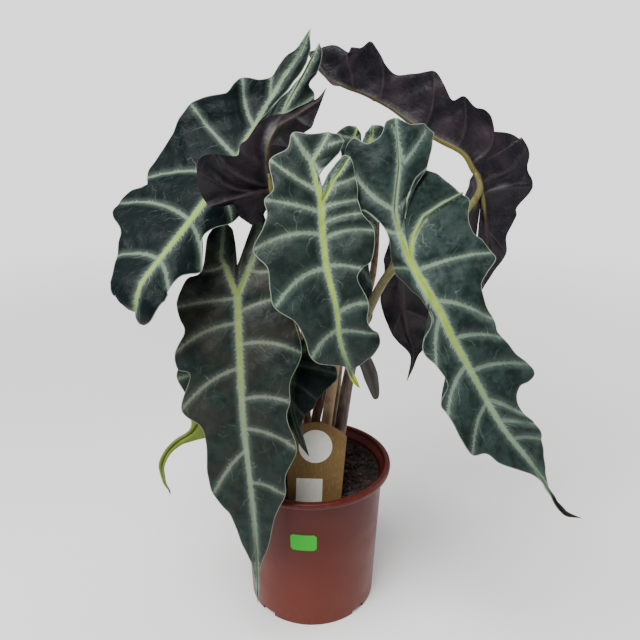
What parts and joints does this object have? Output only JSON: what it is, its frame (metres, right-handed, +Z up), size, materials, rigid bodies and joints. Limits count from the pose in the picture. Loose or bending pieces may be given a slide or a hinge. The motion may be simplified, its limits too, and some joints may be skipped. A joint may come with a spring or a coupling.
{
  "type": "potted alocasia polly",
  "caption": "Arrow-leaved alocasia house plant with pale-veined dark leaves on long petioles, in soil in a round plastic nursery pot with a bare card label.",
  "frame": {"origin": "middle of the flat underside of the pot, on the surface that the pot stands on", "axes": "+Z up, -Y the front of the plant as pictured, +X to the viewer's right"},
  "size_m": [0.3518, 0.2408, 0.4905],
  "materials": {
    "pot": "smooth moulded polypropylene, satin",
    "soil": null,
    "label": "uncoated brown card",
    "sticker": "matt fluorescent paper",
    "leaf": null
  },
  "bodies": {
    "root": {"pot": "pot", "soil": "soil", "care_label": "label", "price_sticker": "sticker", "leaf_front_left": "leaf", "leaf_centre": "leaf", "leaf_right": "leaf", "leaf_upper_left": "leaf", "leaf_back_right": "leaf", "leaf_folded": "leaf", "leaf_back_middle": "leaf", "leaf_hanging_right": "leaf", "leaf_low": "leaf", "leaf_behind_left": "leaf"}
  },
  "joints": []
}
